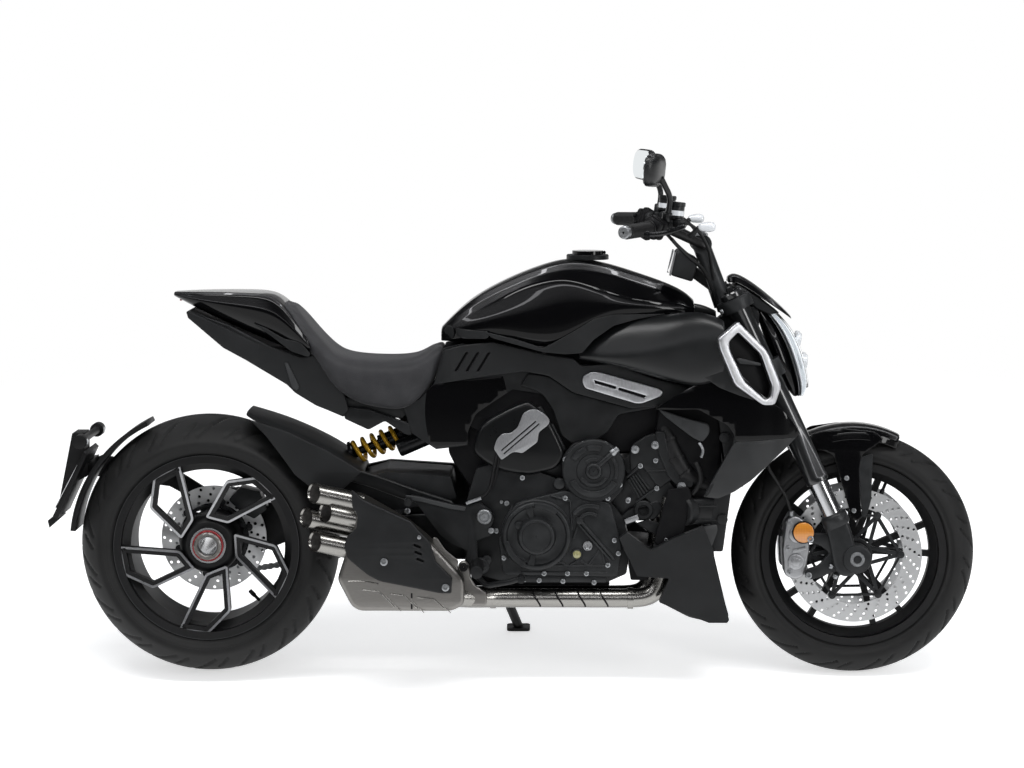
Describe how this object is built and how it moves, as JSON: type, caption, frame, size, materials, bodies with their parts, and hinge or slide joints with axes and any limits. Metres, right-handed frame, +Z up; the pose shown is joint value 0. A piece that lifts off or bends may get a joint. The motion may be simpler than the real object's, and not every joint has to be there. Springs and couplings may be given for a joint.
{
  "type": "power cruiser motorcycle",
  "caption": "Low, muscular road motorcycle with a wide rear tyre, stepped saddle, side intakes and quad tail pipes, parked leaning on its side stand.",
  "frame": {"origin": "centre of the parked machine's footprint, on the floor", "axes": "+X forward, +Y to the machine's left, +Z up"},
  "size_m": [2.2949, 0.8396, 1.3343],
  "materials": {
    "tyre": "moulded rubber",
    "black_rim": "satin black cast aluminium",
    "disc_steel": "ground steel",
    "axle_steel": "machined steel",
    "fork_chrome": "polished steel",
    "anodised_black": "black anodised aluminium",
    "grip_rubber": "moulded rubber and plastic",
    "matte_black": "matte moulded plastic",
    "lamp_housing": "clear lens over a silver housing",
    "gloss_black": "gloss black paint",
    "lid_black": "satin black metal",
    "caliper_silver": "machined aluminium",
    "hose_black": "braided hose in black sleeve",
    "engine_grey": "dark grey cast aluminium",
    "swingarm_black": "satin black cast aluminium",
    "spring_gold": "gold painted spring steel",
    "exhaust_steel": "brushed stainless steel",
    "shield_black": "matte heat-proof plastic",
    "radiator_black": "black painted core",
    "satin_aluminium": "satin aluminium",
    "seat_leather": "grained seat cover",
    "chain_steel": "dark steel links",
    "stand_black": "black painted steel"
  },
  "bodies": {
    "chassis": {"air_ducts": "matte_black", "alternator_cover": "engine_grey", "belly_pan": "matte_black", "clutch_cover": "engine_grey", "drive_chain": "chain_steel", "engine_case": "engine_grey", "exhaust_pipes": "exhaust_steel", "foot_rests_left": "matte_black", "foot_rests_right": "matte_black", "front_cylinders": "engine_grey", "intake_rings": "satin_aluminium", "main_frame": "gloss_black", "panel_inserts": "satin_aluminium", "plate_carrier": "matte_black", "radiator_cowls": "gloss_black", "radiators": "radiator_black", "rear_caliper": "caliper_silver", "rear_cylinders": "engine_grey", "rear_hugger": "matte_black", "rear_shock": "spring_gold", "seat": "seat_leather", "side_panels": "matte_black", "silencer": "exhaust_steel", "silencer_shield": "shield_black", "sprocket_cover": "matte_black", "swingarm": "swingarm_black", "tail": "gloss_black", "tank": "gloss_black", "undertail": "matte_black"},
    "steering": {"fork_clamps": "anodised_black", "fork_tubes": "anodised_black", "fork_sliders": "fork_chrome", "handlebar": "anodised_black", "hand_controls": "grip_rubber", "mirrors": "matte_black", "dash": "matte_black", "headlight": "lamp_housing", "headlight_bracket": "anodised_black", "flyscreen": "gloss_black", "front_mudguard": "gloss_black", "front_calipers": "caliper_silver", "brake_hoses": "hose_black"},
    "front_wheel": {"front_tyre": "tyre", "front_rim": "black_rim", "front_discs": "disc_steel"},
    "rear_wheel": {"rear_tyre": "tyre", "rear_rim": "black_rim", "rear_disc": "disc_steel", "rear_axle_shaft": "axle_steel", "rear_sprocket": "disc_steel"},
    "side_stand": {"side_stand": "stand_black"},
    "filler_lid": {"filler_lid": "lid_black"}
  },
  "joints": [
    {"name": "steering", "type": "hinge", "parent": "chassis", "child": "steering", "pos_m": [0.82212, -0.13317, 0.28541], "axis": [-0.4226, 0.1418, 0.8951], "range_deg": [-30, 30]},
    {"name": "front_wheel_spin", "type": "hinge", "parent": "steering", "child": "front_wheel", "pos_m": [0.8475, -0.13132, 0.29709], "axis": [0, 0.9877, -0.1564], "continuous": true},
    {"name": "rear_wheel_spin", "type": "hinge", "parent": "chassis", "child": "rear_wheel", "pos_m": [-0.7455, -0.12801, 0.31795], "axis": [0, 0.9877, -0.1564], "continuous": true},
    {"name": "side_stand_fold", "type": "hinge", "parent": "chassis", "child": "side_stand", "pos_m": [-0.0455, 0.00637, 0.20756], "axis": [0, 0.8639, 0.5037], "range_deg": [0, 98]},
    {"name": "filler_lid_hinge", "type": "hinge", "parent": "chassis", "child": "filler_lid", "pos_m": [0.2305, -0.01523, 1.03007], "axis": [0, 0.9877, -0.1564], "range_deg": [0, 100]}
  ]
}
